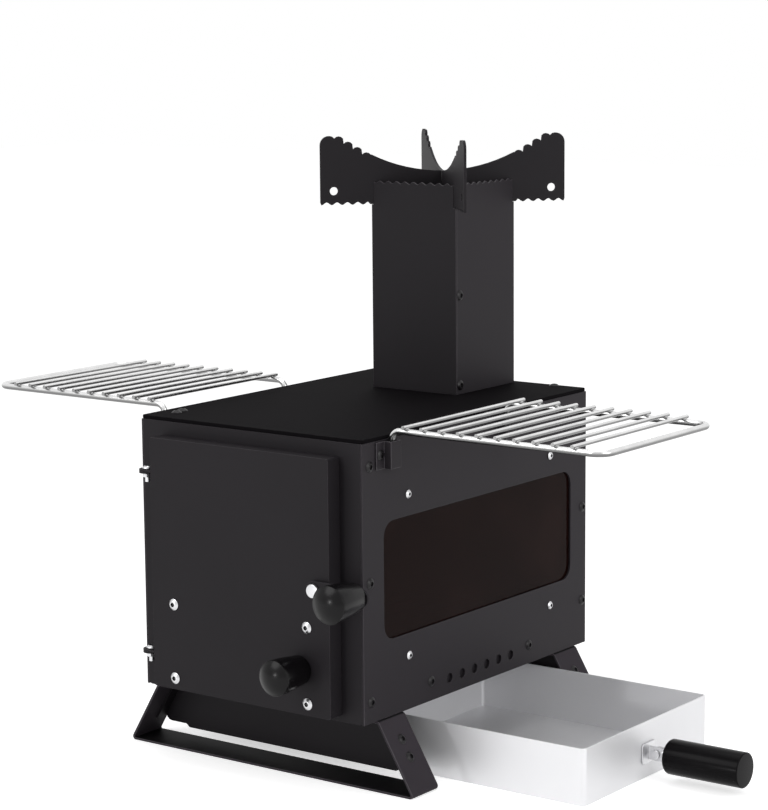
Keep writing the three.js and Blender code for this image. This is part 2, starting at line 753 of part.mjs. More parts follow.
function apronPlate() {
  const { back, bottom, end, stepX, stepRun, flange, corner } = apron;
  const top = box.bottom - gap;
  const shelf = top - sheet - gap;
  const notch = foot.flangeEnd - gap;
  const half = [
    [stepX, bottom], [stepX + stepRun, end], [legInside(end), end],
    [legInside(shelf), shelf], [notch, shelf], [notch, top],
  ];
  const radii = [stepRun, stepRun, corner, 0, 0, 0];
  const face = filleted([...half, ...mirrored(half)], [...radii, ...radii.toReversed()]);
  const [low, high] = [end + apronEar.above, shelf - apronEar.below];
  const ear = [
    [legInside(low), low], [legInside(high), high],
    [legInside(high) - sheet, high], [legInside(low) - sheet, low],
  ];
  return join(
    alongY(face, back - sheet, back),
    alongY(ear, back - flange, back - sheet / 2),
    alongY(mirrored(ear), back - flange, back - sheet / 2),
  );
}

// ---- Baking pan ----

function panBody() {
  const { left, right, front, back, height, wall, corner } = pan;
  const hollow = rectangle(left + wall, front + wall, right - wall, back - wall, corner - wall);
  return cut(
    alongZ(rectangle(left, front, right, back, corner), 0, height),
    alongZ(hollow, wall, height + 1),
  );
}

function panBracket() {
  const { y, z, pivot, ear } = panHandle;
  const { halfWidth, halfHeight, bend } = bracket;
  const face = pan.right + gap;
  const root = face + thinSheet / 2;
  const plate = rectangle(y - halfWidth, z - halfHeight, y + halfWidth, z + halfHeight, bend);
  const lug = [[root, z - ear], ...arc(pivot, z, ear, -90, 90, 8), [root, z + ear]];
  return join(
    alongX(plate, face, face + thinSheet),
    alongY(lug, y - thinSheet, y + thinSheet, [circle(pivot, z, screwHole)]),
  );
}

// Two ears round the bracket's lug, closed by a collar with a tang for the grip.
function handleFork() {
  const { y, z, pivot, ear, collar: collarX, grip } = panHandle;
  const root = (collarX + grip) / 2;
  const outline = [...arc(pivot, z, ear, 90, 270, 8), [root, z - ear], [root, z + ear]];
  const near = thinSheet + gap;
  const far = near + thinSheet;
  const end = grip + tang.length;
  const collarAndTang = turned([
    [0, collarX], [tang.collar, collarX], [tang.collar, grip],
    [tang.radius, grip], [tang.radius, end], [0, end],
  ], [0, y, z], [1, 0, 0]);
  return join(
    alongY(outline, y + near, y + far, [circle(pivot, z, screwHole)]),
    alongY(outline, y - far, y - near, [circle(pivot, z, screwHole)]),
    collarAndTang,
  );
}

function handlePin() {
  const { y, z, pivot } = panHandle;
  const { radius, head, headHeight, bevel } = pivotPin;
  const seat = 2 * thinSheet + 2 * gap;
  const end = seat + headHeight;
  const half = [[radius, seat], [head, seat], [head, end - bevel], [head - bevel, end], [0, end]];
  const other = half.map(([r, distance]) => [r, -distance]).reverse();
  return turned([...other, ...half], [pivot, y, z], [0, 1, 0], 10);
}

function handleGrip() {
  const { y, z, grip, end, radius } = panHandle;
  const near = grip + gap;
  const edge = 4;
  const bore = tang.radius + gap;
  const boreEnd = near + tang.length + tang.spare;
  return turned([
    [0, boreEnd], [bore, boreEnd], [bore, near],
    ...arc(radius - edge, near + edge, edge, -90, 0, 4),
    ...arc(radius - edge, end - edge, edge, 0, 90, 4),
    [0, end],
  ], [0, y, z], [1, 0, 0], 20);
}

// ---- Assembly ----

const stove = new THREE.Group();

function add(name, piece, finish, parent = stove) {
  const mesh = meshOf(name, piece, finish);
  parent.add(mesh);
  return mesh;
}

const { blackPaint, sidePaint, plainSteel, zinc, chrome, phenolic, panMetal, clearGlass } = finishes;

add('base_plate', basePlate(), blackPaint);
add('right_side_panel', rightPanel(), sidePaint);
add('left_side_panel', sidePanel(-box.halfWidth, -inside, []), sidePaint);
add('front_frame', frontFrame(), blackPaint);
add('rear_panel', rearPanel(), blackPaint);
add('top_plate', topPlate(), blackPaint);
add('flue_collar', flueCollar(), blackPaint);
add('window_glass', windowGlass(), clearGlass);
add('window_clamp', windowClamp(), plainSteel);
add('fire_grate', fireGrate(), plainSteel);
for (const [place, [y, z]] of Object.entries(windowScrewPlaces())) {
  add(`window_screw_${place}`, buttonScrew([box.halfWidth, y, z], [1, 0, 0], 9.2), zinc);
}

add('door_pan', doorPan(), blackPaint);
add('door_baffle', doorBaffle(), plainSteel);
for (const [place, [x, z]] of Object.entries(doorScrewPlaces())) {
  add(`door_screw_${place}`, buttonScrew([x, door.front, z], [0, -1, 0], 12.2), zinc);
}
add('air_shutter', airShutter(), plainSteel);
add('air_knob', flaredKnob([airControl.x, door.front - gap, airControl.z]), phenolic);
add('latch_lever', latchLever(), blackPaint);
add('latch_bolt', latchBolt(), zinc);
add('latch_washer', latchWasher(), zinc);
add('latch_tongue', latchTongue(), plainSteel);
add('latch_nut', latchNut(), zinc);
add('latch_knob', flaredKnob([latch.knob, latch.front - gap, latch.z]), phenolic);
for (const [place, height] of Object.entries(hinge.heights)) {
  add(`${place}_hinge_bolt`, hingePin(height), zinc);
  add(`${place}_hinge_nut`, hingeNut(height), zinc);
}

add('flue_front_half', flueFrontHalf(), blackPaint);
add('flue_rear_half', flueRearHalf(), sidePaint);
for (const [name, slotFrom, turn] of [['lower_pot_plate', 'above', 1], ['upper_pot_plate', 'below', -1]]) {
  const plate = add(name, potSupportPlate(slotFrom), blackPaint);
  plate.position.set(0, flue.y, 0);
  plate.rotation.z = turn * Math.PI / 4;
}

// The left rack and its sleeves are the right ones turned half round, and so are the rear foot
// and its apron.
for (const [side, turn] of [['right', 0], ['left', Math.PI]]) {
  const rackSide = new THREE.Group();
  rackSide.rotation.z = turn;
  rackSide.position.y = turn === 0 ? 0 : 2 * rack.y;
  stove.add(rackSide);
  const [front, rear] = turn === 0 ? ['front', 'rear'] : ['rear', 'front'];
  add(`${side}_rack`, rackWire(), chrome, rackSide);
  add(`${side}_${front}_sleeve`, rackSleeve(rack.y - rack.halfSpan, 1), blackPaint, rackSide);
  add(`${side}_${rear}_sleeve`, rackSleeve(rack.y + rack.halfSpan, -1), blackPaint, rackSide);
}
for (const [end, turn] of [['front', 0], ['rear', Math.PI]]) {
  const footEnd = new THREE.Group();
  footEnd.rotation.z = turn;
  footEnd.position.y = turn === 0 ? 0 : box.depth;
  stove.add(footEnd);
  add(`${end}_foot`, footStrip(), blackPaint, footEnd);
  add(`${end}_apron`, apronPlate(), blackPaint, footEnd);
}

add('pan_body', panBody(), panMetal);
add('pan_bracket', panBracket(), zinc);
add('handle_fork', handleFork(), zinc);
add('handle_pin', handlePin(), zinc);
add('handle_grip', handleGrip(), phenolic);

const part = new THREE.Group();
stove.position.x = -(footprint.left + footprint.right) / 2;
stove.position.y = -(footprint.front + footprint.back) / 2;
part.add(stove);

export default part;
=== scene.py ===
import json
import math

import bmesh
import bpy
from mathutils import Matrix, Vector

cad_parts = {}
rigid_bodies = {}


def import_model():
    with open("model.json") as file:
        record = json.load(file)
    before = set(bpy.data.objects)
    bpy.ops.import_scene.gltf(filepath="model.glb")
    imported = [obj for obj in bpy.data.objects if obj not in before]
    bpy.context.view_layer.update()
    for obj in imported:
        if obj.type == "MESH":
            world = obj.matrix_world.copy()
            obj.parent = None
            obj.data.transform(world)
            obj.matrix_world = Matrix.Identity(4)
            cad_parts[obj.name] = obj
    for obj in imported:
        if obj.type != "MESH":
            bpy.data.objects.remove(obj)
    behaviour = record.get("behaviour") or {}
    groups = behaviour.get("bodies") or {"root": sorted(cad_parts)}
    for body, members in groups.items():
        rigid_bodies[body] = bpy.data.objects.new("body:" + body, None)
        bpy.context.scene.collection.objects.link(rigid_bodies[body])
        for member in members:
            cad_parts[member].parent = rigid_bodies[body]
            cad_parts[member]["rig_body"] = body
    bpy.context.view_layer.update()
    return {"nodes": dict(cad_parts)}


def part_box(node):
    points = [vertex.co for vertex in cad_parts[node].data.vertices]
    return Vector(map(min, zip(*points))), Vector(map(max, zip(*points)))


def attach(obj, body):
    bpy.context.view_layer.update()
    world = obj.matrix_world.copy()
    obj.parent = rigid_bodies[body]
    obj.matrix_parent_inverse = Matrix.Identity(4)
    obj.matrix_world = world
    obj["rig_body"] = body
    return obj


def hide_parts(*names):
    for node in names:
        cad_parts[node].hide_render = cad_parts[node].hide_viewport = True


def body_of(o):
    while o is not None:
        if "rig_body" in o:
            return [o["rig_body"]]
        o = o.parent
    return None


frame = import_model()
print("stove: frame loaded,", len(frame["nodes"]), "nodes")

mm = 0.001

# Places below are in millimetres from the middle of the firebox's front edge, on the ground.
plateLow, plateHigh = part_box("top_plate")
boxFront = Vector(((plateLow.x + plateHigh.x) / 2, plateLow.y, 0))
boxDepth = (plateHigh.y - plateLow.y) / mm
boxTop = plateHigh.z / mm


def place(x, y, z):
    return boxFront + Vector((x, y, z)) * mm


# shader writing

class Value:
    # a socket that varies over the surface; sums and products of it add Math nodes
    def __init__(self, paint, node, output):
        self.paint = paint
        self.node = node
        self.socket = node.outputs[output]

    def maths(self, operation, first, second):
        return self.paint.add("Math", {"operation": operation}, {0: first, 1: second})

    def __add__(self, other):
        return self.maths("ADD", self, other)

    def __mul__(self, other):
        return self.maths("MULTIPLY", self, other)

    __radd__ = __add__
    __rmul__ = __mul__

    def between(self, low, high):
        span = {"Value": self, "From Min": low, "From Max": high}
        return self.paint.add("MapRange", {"interpolation_type": "SMOOTHSTEP"}, span)


class Paint:
    # the nodes of one material or world; add() makes any node, surface() sets the shader's sockets
    def __init__(self, owner):
        owner.use_nodes = True
        self.owner = owner
        self.tree = owner.node_tree
        self.shader = self.tree.nodes.get("Principled BSDF") or self.tree.nodes["Background"]

    def link(self, socket, value):
        if isinstance(value, Value):
            self.tree.links.new(value.socket, socket)
        elif isinstance(value, tuple) and socket.type == "RGBA":
            socket.default_value = (*value, 1)
        else:
            socket.default_value = value

    def add(self, kind, settings=None, sockets=None, output=0):
        node = self.tree.nodes.new("ShaderNode" + kind)
        for key, setting in (settings or {}).items():
            setattr(node, key, setting)
        for key, value in (sockets or {}).items():
            self.link(node.inputs[key], value)
        return Value(self, node, output)

    def surface(self, **sockets):
        for key, value in sockets.items():
            self.link(self.shader.inputs[key.replace("_", " ")], value)

    def noise(self, scale, detail, stretch=(1, 1, 1), roughness=0.5):
        where = self.add("TexCoord", output="Object")
        spot = self.add("Mapping", {}, {"Vector": where, "Scale": stretch})
        grain = {"Vector": spot, "Scale": scale, "Detail": detail, "Roughness": roughness}
        return self.add("TexNoise", {}, grain)

    def blend(self, amount, first, second):
        return self.add("Mix", {"data_type": "RGBA"}, {0: amount, 6: first, 7: second}, output=2)

    def bump(self, height, strength, depth):
        bump = {"Strength": strength, "Distance": depth * mm, "Height": height}
        self.surface(Normal=self.add("Bump", {}, bump))

    def height(self):
        # 1 on faces that look up, -1 on those that look down
        facing = self.add("SeparateXYZ", {}, {0: self.add("TexCoord", output="Normal")})
        return Value(self, facing.node, "Z")

    def seen(self):
        # 1 for what the camera, a glossy surface or glass sees, 0 for light that lands
        camera = self.add("LightPath", output="Is Camera Ray")
        mirror = Value(self, camera.node, "Is Glossy Ray")
        through = Value(self, camera.node, "Is Transmission Ray")
        return camera.maths("MAXIMUM", camera, camera.maths("MAXIMUM", mirror, through))


def gray(level, blue=0.0):
    return (level * (1 - blue), level * (1 - blue), level * (1 + blue))


def plum(level):
    # the stove's black, which leans a little to red and blue
    return (level * 1.04, level * 0.9, level * 1.06)


# finishes

# the last entry is the dark of the painted shade on flat faces
coat = {"cloud": 7, "scuff": 38, "grain": 1100, "dust": 300, "grit": 0.1, "depth": 0.04,
        "faded": 1.16, "scuffed": 1.5, "ash": 0.003}


def blackPaint(name, tone, gloss=0.13, roughness=0.5, sootAndShade=0.0):
    paint = Paint(bpy.data.materials.new(name))
    cloud = paint.noise(coat["cloud"], detail=4)
    scuff = paint.noise(coat["scuff"], detail=6, roughness=0.7).between(0.6, 0.78)
    toneAndShade = paint.blend(cloud.between(0.3, 0.7), plum(tone), plum(tone * coat["faded"]))
    if sootAndShade:  # flat faces turn darker: painted shade, as under the stove
        flat = paint.height().between(0.6, 0.95)
        toneAndShade = paint.blend(flat * sootAndShade, toneAndShade, gray(coat["ash"]))
    paint.surface(
        Base_Color=paint.blend(scuff * 0.5, toneAndShade, plum(tone * coat["scuffed"])),
        Roughness=roughness + 0.08 * cloud + 0.06 * scuff,
        Specular_IOR_Level=gloss,
    )
    grit = paint.noise(coat["grain"], detail=2) + 0.5 * paint.noise(coat["dust"], detail=3)
    paint.bump(grit, coat["grit"], coat["depth"])
    return paint.owner


def bareSteel():
    paint = Paint(bpy.data.materials.new("bareSteel"))
    heat = paint.noise(14, detail=4)
    rolled = paint.noise(60, detail=4, stretch=(1, 18, 1))
    sooted, rubbed = (0.035, 0.032, 0.031), (0.1, 0.093, 0.09)
    paint.surface(
        Base_Color=paint.blend(heat.between(0.3, 0.75), sooted, rubbed),
        Metallic=0.6,
        Roughness=0.48 + 0.2 * rolled,
    )
    paint.bump(rolled, strength=0.15, depth=0.05)
    return paint.owner


def zincPlate(name, low, high):
    paint = Paint(bpy.data.materials.new(name))
    cloud = paint.noise(260, detail=3)
    paint.surface(
        Base_Color=paint.blend(cloud, gray(low, 0.01), gray(high, 0.01)),
        Metallic=1.0,
        Roughness=0.22 + 0.16 * cloud,
    )
    paint.bump(paint.noise(1400, detail=2), strength=0.08, depth=0.02)
    return paint.owner


def chromeWire():
    # lighter above and darker on its underside: the dark underside is painted shade
    paint = Paint(bpy.data.materials.new("chromeWire"))
    smear = paint.noise(55, detail=4)
    bright = paint.blend(smear.between(0.35, 0.65), gray(0.74), gray(0.82))
    underShade = paint.height().between(0.55, -0.25)
    paint.surface(
        Base_Color=paint.blend(underShade, bright, gray(0.17)),
        Metallic=1.0,
        Roughness=0.2 + 0.08 * smear,
    )
    paint.bump(paint.noise(500, detail=2), strength=0.03, depth=0.02)
    return paint.owner


def phenolic(name, gloss):
    paint = Paint(bpy.data.materials.new(name))
    cloud = paint.noise(120, detail=3)
    paint.surface(
        Base_Color=paint.blend(cloud, plum(0.0025), plum(0.004)),
        Roughness=0.2 + 0.08 * cloud,
        Specular_IOR_Level=gloss,
    )
    paint.bump(paint.noise(700, detail=3), strength=0.05, depth=0.03)
    return paint.owner


def panSteel():
    paint = Paint(bpy.data.materials.new("panSteel"))
    brushed = paint.noise(70, detail=5, stretch=(1, 1, 34))
    cloud = paint.noise(9, detail=3)
    paint.surface(
        Base_Color=paint.blend(cloud, gray(0.74, 0.01), gray(0.84, 0.01)),
        Metallic=0.55,
        Roughness=0.4 + 0.16 * brushed,
    )
    paint.bump(brushed, strength=0.12, depth=0.04)
    return paint.owner


def smokyGlass():
    paint = Paint(bpy.data.materials.new("smokyGlass"))
    sootAndShade = paint.noise(9, detail=5).between(0.4, 0.85)
    dark, brown = (0.008, 0.0025, 0.002), (0.016, 0.006, 0.005)
    # nearly opaque dark brown glass: soot on the glass, and painted shade standing for the dark
    # inside of the firebox
    paint.surface(
        Base_Color=paint.blend(sootAndShade, dark, brown),
        Roughness=0.05 + 0.06 * sootAndShade,
        Alpha=0.9 + 0.07 * sootAndShade,
        Specular_IOR_Level=0.03,
    )
    return paint.owner


finish = {
    # front, side and top are one black paint at three tones: painted light and shade, the side
    # lighter than the front and the top darkest
    "front": blackPaint("frontPaint", 0.0115),
    "side": blackPaint("sidePaint", 0.019),
    "top": blackPaint("topPaint", 0.004, gloss=0.02, roughness=0.72),
    # the legs' paint is lighter than the box's and darker on its flat faces: painted light, and
    # painted shade under the stove
    "leg": blackPaint("legPaint", 0.034, gloss=0.04, sootAndShade=0.9),
    # the edge paint is lighter and glossier than the sheets: a painted highlight along eased edges
    "edge": blackPaint("wornEdge", 0.045, gloss=0.35, roughness=0.34),
    "screw": blackPaint("screwPaint", 0.006, gloss=0.28, roughness=0.3),
    "bare": bareSteel(),
    "zinc": zincPlate("zincPlate", 0.55, 0.72),
    # the dark socket paint is painted shade inside screw sockets
    "socket": zincPlate("darkSocket", 0.03, 0.07),
    "chrome": chromeWire(),
    "knob": phenolic("knobPhenolic", 0.17),
    "grip": phenolic("gripPhenolic", 0.06),
    "pan": panSteel(),
    "glass": smokyGlass(),
}
print("stove: finishes made")


# making pieces

def camel(node):
    first, *rest = node.split("_")
    return first + "".join(word.capitalize() for word in rest)


def addPiece(name, form, body, looks, smooth=40):
    mesh = bpy.data.meshes.new(name)
    bmesh.ops.recalc_face_normals(form, faces=form.faces)
    form.to_mesh(mesh)
    form.free()
    for look in looks:
        mesh.materials.append(finish[look])
    mesh.shade_smooth()
    if smooth:
        mesh.set_sharp_from_angle(angle=math.radians(smooth))
    piece = bpy.data.objects.new(name, mesh)
    bpy.context.scene.collection.objects.link(piece)
    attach(piece, body)
    return piece


def standFor(node, form, looks, smooth=40):
    body = body_of(frame["nodes"][node])[0]
    piece = addPiece(camel(node), form, body, looks, smooth)
    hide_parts(node)
    return piece


softEdge = {"width": 0.35, "join": 0.002, "flat": 0.8, "corner": 38, "segments": 2,
            "weight": 90}
highlitEdgeLooks = ("front", "side", "leg")
apronStep = {"near": 115, "far": 135, "below": 15, "shift": 9}


def moveStep(form):
    # the step in an apron's lower edge stands nearer to the middle
    for vert in form.verts:
        across = vert.co.x - boxFront.x
        stepped = apronStep["near"] < abs(across) / mm < apronStep["far"]
        if stepped and vert.co.z < apronStep["below"] * mm:
            vert.co.x -= math.copysign(apronStep["shift"] * mm, across)


def soften(node, look, edge):
    # the model's own sheet, with its edges eased so that they catch the light
    form = bmesh.new()
    form.from_mesh(frame["nodes"][node].data)
    if node.endswith("apron"):
        moveStep(form)
    bmesh.ops.remove_doubles(form, verts=form.verts, dist=softEdge["join"] * mm)
    flat = math.radians(softEdge["flat"])
    bmesh.ops.dissolve_limit(form, angle_limit=flat, verts=form.verts, edges=form.edges)
    edgeHighlit = look in highlitEdgeLooks
    piece = standFor(node, form, [look, "edge"] if edgeHighlit else [look], smooth=0)
    bevel = piece.modifiers.new("easedEdges", "BEVEL")
    # on front, side and leg sheets the eased edges take the edge paint, a painted highlight
    bevel.material = 1 if edgeHighlit else -1
    bevel.width = edge * mm
    bevel.segments = softEdge["segments"]
    bevel.limit_method = "ANGLE"
    bevel.angle_limit = math.radians(softEdge["corner"])
    bevel.miter_outer = "MITER_ARC"
    normals = piece.modifiers.new("flatFaces", "WEIGHTED_NORMAL")
    normals.mode = "FACE_AREA"
    normals.weight = softEdge["weight"]


def filleted(points, radii, stops):
    # a line with its corners rounded, each by its own radius
    line = [points[0]]
    for k in range(1, len(points) - 1):
        back = (points[k - 1] - points[k]).normalized()
        ahead = (points[k + 1] - points[k]).normalized()
        half = back.angle(ahead) / 2
        middle = points[k] + (back + ahead).normalized() * (radii[k] / math.sin(half))
        spoke = points[k] + back * (radii[k] / math.tan(half)) - middle
        axis = ahead.cross(back)
        for stop in range(stops + 1):
            swing = Matrix.Rotation((math.pi - 2 * half) * stop / stops, 3, axis)
            line.append(middle + swing @ spoke)
    line.append(points[-1])
    return line


def addRing(form, points):
    return [form.verts.new(point) for point in points]


def bridge(form, first, second, material=0):
    count = len(first)
    for k in range(count):
        ahead = (k + 1) % count
        face = form.faces.new((first[k], first[ahead], second[ahead], second[k]))
        face.material_index = material


def reachOf(angle, corners):
    # how far a regular outline reaches at an angle, as a share of its corner radius
    if not corners:
        return 1
    within = angle % (2 * math.pi / corners) - math.pi / corners
    return math.cos(math.pi / corners) / math.cos(within)


tipRadius = 0.01  # a turned form closes on a ring this small


def turn(form, profile, spot, axis, sides, ring=False):
    # a profile's rows are radius and distance along the axis,
    # then the number of corners and the material where they aren't 0
    aim = Vector(axis).to_track_quat("Z", "Y").to_matrix()
    rings = []
    for radius, distance, corners, material in [(*row, 0, 0)[:4] for row in profile]:
        points = []
        for k in range(sides):
            angle = 2 * math.pi * k / sides
            reach = max(radius, tipRadius) * reachOf(angle, corners)
            local = Vector((reach * math.cos(angle), reach * math.sin(angle), distance))
            points.append(spot + aim @ local * mm)
        rings.append((addRing(form, points), material))
    for (first, _), (second, material) in zip(rings, rings[1:]):
        bridge(form, first, second, material)
    if ring:
        bridge(form, rings[-1][0], rings[0][0])
    else:
        form.faces.new(rings[0][0])
        form.faces.new(rings[-1][0]).material_index = rings[-1][1]


def tube(form, points, radii, sides):
    # a wire through the points, as thick at each as its radius
    rings = []
    start = (points[1] - points[0]).normalized()
    side = Vector((0, 1, 0)) if abs(start.z) > 0.9 else Vector((0, 0, 1))
    for k, point in enumerate(points):
        ahead = (points[min(k + 1, len(points) - 1)] - points[max(k - 1, 0)]).normalized()
        side = (side - ahead * side.dot(ahead)).normalized()
        other = ahead.cross(side)
        angles = [2 * math.pi * step / sides for step in range(sides)]
        spokes = [side * math.cos(angle) + other * math.sin(angle) for angle in angles]
        rings.append(addRing(form, [point + spoke * radii[k] * mm for spoke in spokes]))
    for first, second in zip(rings, rings[1:]):
        bridge(form, first, second)
    form.faces.new(rings[0])
    form.faces.new(rings[-1])


# sheet metal

sheets = {
    "front": ["base_plate", "front_frame", "rear_panel", "flue_collar", "door_pan", "latch_lever",
              "flue_front_half", "lower_pot_plate", "upper_pot_plate", "front_apron",
              "rear_apron"],
    "side": ["right_side_panel", "left_side_panel", "flue_rear_half",
             "right_front_sleeve", "right_rear_sleeve", "left_front_sleeve", "left_rear_sleeve"],
    "top": ["top_plate"],
    "leg": ["front_foot", "rear_foot"],
    "bare": ["window_clamp", "fire_grate", "door_baffle", "air_shutter", "latch_tongue",
             "latch_nut"],
    "zinc": ["pan_bracket", "handle_fork"],
    "glass": ["window_glass"],
    "pan": ["pan_body"],
}
sheetEdges = {"door_pan": 0.9, "fire_grate": 0.2, "window_glass": 0.5, "pan_body": 0.45}
for look, nodes in sheets.items():
    for node in nodes:
        soften(node, look, sheetEdges.get(node, softEdge["width"]))
print("stove: sheet metal softened")


# knobs and the pan's grip

knob = {"base": 12.5, "length": 39.7, "bore": 4.1, "boreDepth": 20, "dome": 5.2, "edge": 1.1,
        "foot": 0.8, "steps": 14, "turns": 4, "rimShare": 0.7, "sides": 72}
knobBrows = {"latch_knob": 16.1, "air_knob": 15.2}


def flaredKnob(node, brow):
    low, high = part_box(node)
    seat = Vector(((low.x + high.x) / 2, high.y, (low.z + high.z) / 2))
    base, foot, steps, turns = (knob[key] for key in ("base", "foot", "steps", "turns"))
    bore, deep = knob["bore"], knob["boreDepth"]
    shoulder = knob["length"] - knob["dome"]
    profile = [(0, deep), (bore, deep), (bore, 0), (base - foot, 0)]
    for k in range(1, turns + 1):
        angle = math.pi / 2 * k / turns
        profile.append((base - foot * (1 - math.sin(angle)), foot * (1 - math.cos(angle))))
    for k in range(1, steps + 1):
        share = k / steps
        flare = (brow - base) * math.sin(share * math.pi / 2)
        profile.append((base + flare, foot + share * (shoulder - foot)))
    # the rim is rounded a little, and the end is part of a ball
    ball = (brow ** 2 + knob["dome"] ** 2) / (2 * knob["dome"])
    rim = brow - knob["edge"] * knob["rimShare"]
    lift = math.sqrt(ball ** 2 - rim ** 2) - (ball - knob["dome"])
    lean = math.asin(rim / ball)
    for k in range(1, turns + 1):
        angle = (math.pi / 2 - lean) * k / turns
        share = (1 - math.cos(angle)) / (1 - math.sin(lean))
        rise = lift * math.sin(angle) / math.cos(lean)
        profile.append((brow - (brow - rim) * share, shoulder + rise))
    for k in range(1, steps + 1):
        angle = lean * (1 - k / steps)
        drop = ball * (1 - math.cos(angle))
        profile.append((ball * math.sin(angle), shoulder + knob["dome"] - drop))
    form = bmesh.new()
    turn(form, profile, seat, (0, -1, 0), knob["sides"])
    standFor(node, form, ["knob"])


for node, brow in knobBrows.items():
    flaredKnob(node, brow)

grip = {"radius": 15.2, "length": 72.5, "edge": 3.4, "endEdge": 1.0, "bore": 3.3,
        "boreDepth": 38, "steps": 8, "sides": 72}


def roundGrip():
    low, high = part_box("handle_grip")
    seat = Vector((low.x, (low.y + high.y) / 2, (low.z + high.z) / 2))
    radius, length, steps = grip["radius"], grip["length"], grip["steps"]
    profile = [(0, grip["boreDepth"]), (grip["bore"], grip["boreDepth"]), (grip["bore"], 0)]
    for edge, end, way in ((grip["edge"], 0, 1), (grip["endEdge"], length, -1)):
        for k in range(steps + 1):
            turned = math.pi / 2 * (k if way > 0 else steps - k) / steps
            reach = edge * (1 - math.cos(turned))
            profile.append((radius - edge + edge * math.sin(turned), end + way * reach))
    profile.append((0, length))
    form = bmesh.new()
    turn(form, profile, seat, (1, 0, 0), grip["sides"])
    standFor("handle_grip", form, ["grip"])


roundGrip()
print("stove: knobs and grip turned")


# fasteners

seatDepth = 3.0  # from the end of a screw's node to the sheet that it is on
screwCrease = 32
silverSides = 36
doorScrew = {"radius": 5.0, "height": 2.5, "round": 6.4, "socket": 2.2, "socketDepth": 1.5,
             "shank": 1.9}
windowScrew = {"radius": 3.7, "height": 2.0, "round": 4.8, "socket": 1.6, "socketDepth": 1.1,
               "shank": 1.9}
button = {"steps": 7, "rimGap": 0.35, "under": 0.2, "underRise": 0.25, "lipDrop": 0.05,
          "wallIn": 0.12, "wallDrop": 0.3, "floorIn": 0.15, "point": 0.3, "corners": 6}


def buttonProfile(size, length):
    # shank, underside and dome, then a six-sided socket whose inside takes the second material,
    # the dark socket paint on silver screws: painted shade
    radius, shank, socket = (size[key] for key in ("radius", "shank", "socket"))
    steps, corners = button["steps"], button["corners"]
    edge = math.acos(min(radius / size["round"], 1))
    rim = math.acos((socket + button["rimGap"]) / size["round"])
    drop = size["round"] - size["height"]
    profile = [(0, -length), (shank, -length), (shank, 0), (radius - button["under"], 0),
               (radius, button["underRise"])]
    for k in range(1, steps + 1):
        angle = edge + (rim - edge) * k / steps
        profile.append((size["round"] * math.cos(angle), size["round"] * math.sin(angle) - drop))
    top = profile[-1][1]
    floor = top - size["socketDepth"]
    return profile + [(socket, top - button["lipDrop"], corners, 0),
                      (socket - button["wallIn"], top - button["wallDrop"], corners, 1),
                      (socket - button["floorIn"], floor, corners, 1),
                      (0, floor - button["point"], 0, 1)]


def silverScrew(node, size, axis):
    low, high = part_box(node)
    ahead = Vector(axis)
    middle = (low + high) / 2
    length = abs((high - low).dot(ahead)) / mm
    seat = middle + ahead * (length / 2 - seatDepth) * mm
    form = bmesh.new()
    turn(form, buttonProfile(size, length - seatDepth), seat, axis, silverSides)
    standFor(node, form, ["zinc", "socket"], screwCrease)


for node in frame["nodes"]:
    if node.startswith("door_screw"):
        silverScrew(node, doorScrew, (0, -1, 0))
    if node.startswith("window_screw"):
        silverScrew(node, windowScrew, (1, 0, 0))

blackScrew = {"radius": 4.7, "height": 2.3, "round": 6.2, "socket": 2.3, "socketDepth": 1.4,
              "shank": 1.6, "length": 1.2, "sides": 24}
blackScrewSpots = {
    "sides": [(10, 279), (10, 181), (10, 80), (338, 279), (338, 191.7), (338, 103.3),
              (96, 79), (248, 79)],
    "sleeves": [(24, 287), (218, 287)],
    "top": [(89, 338), (-89, 338), (-104, 36), (-101, 25)],
    "legs": [44, 30],
    "flue": [(246, 393), (246, 311)],
}
screwFaces = {"side": 120, "sleeve": 121.4, "flue": 47}
bothSleeves = 242  # a left sleeve's y and the right one's add up to this
legSlope = {"top": 121, "run": 158, "height": 61.7, "middle": 36.5}


def addBlackScrew(form, spot, axis):
    profile = buttonProfile(blackScrew, blackScrew["length"])
    turn(form, profile, place(*spot), axis, blackScrew["sides"])


def blackScrews():
    body = bmesh.new()
    flue = bmesh.new()
    lean = (legSlope["run"] - legSlope["top"]) / legSlope["height"]
    for side in (1, -1):
        for y, z in blackScrewSpots["sides"]:
            addBlackScrew(body, (side * screwFaces["side"], y, z), (side, 0, 0))
        for y, z in blackScrewSpots["sleeves"]:
            along = y if side > 0 else bothSleeves - y
            addBlackScrew(body, (side * screwFaces["sleeve"], along, z), (side, 0, 0))
        for z in blackScrewSpots["legs"]:
            for y in (legSlope["middle"], boxDepth - legSlope["middle"]):
                across = side * (legSlope["run"] - lean * z)
                addBlackScrew(body, (across, y, z), (side, 0, lean))
        for y, z in blackScrewSpots["flue"]:
            addBlackScrew(flue, (side * screwFaces["flue"], y, z), (side, 0, 0))
    for x, y in blackScrewSpots["top"]:
        addBlackScrew(body, (x, y, boxTop), (0, 0, 1))
    looks = ["screw", "screw"]
    addPiece("boxScrews", body, "firebox", looks, screwCrease)
    addPiece("flueScrews", flue, "flue", looks, screwCrease)


blackScrews()

hingeBolt = {"radius": 4.6, "height": 3.0, "round": 5.6, "socket": 2.3, "socketDepth": 1.5,
             "shank": 2.4}
hingeNut = {"corner": 4.6, "hole": 2.7, "bevel": 0.4, "chamfer": 0.6, "flats": 6}


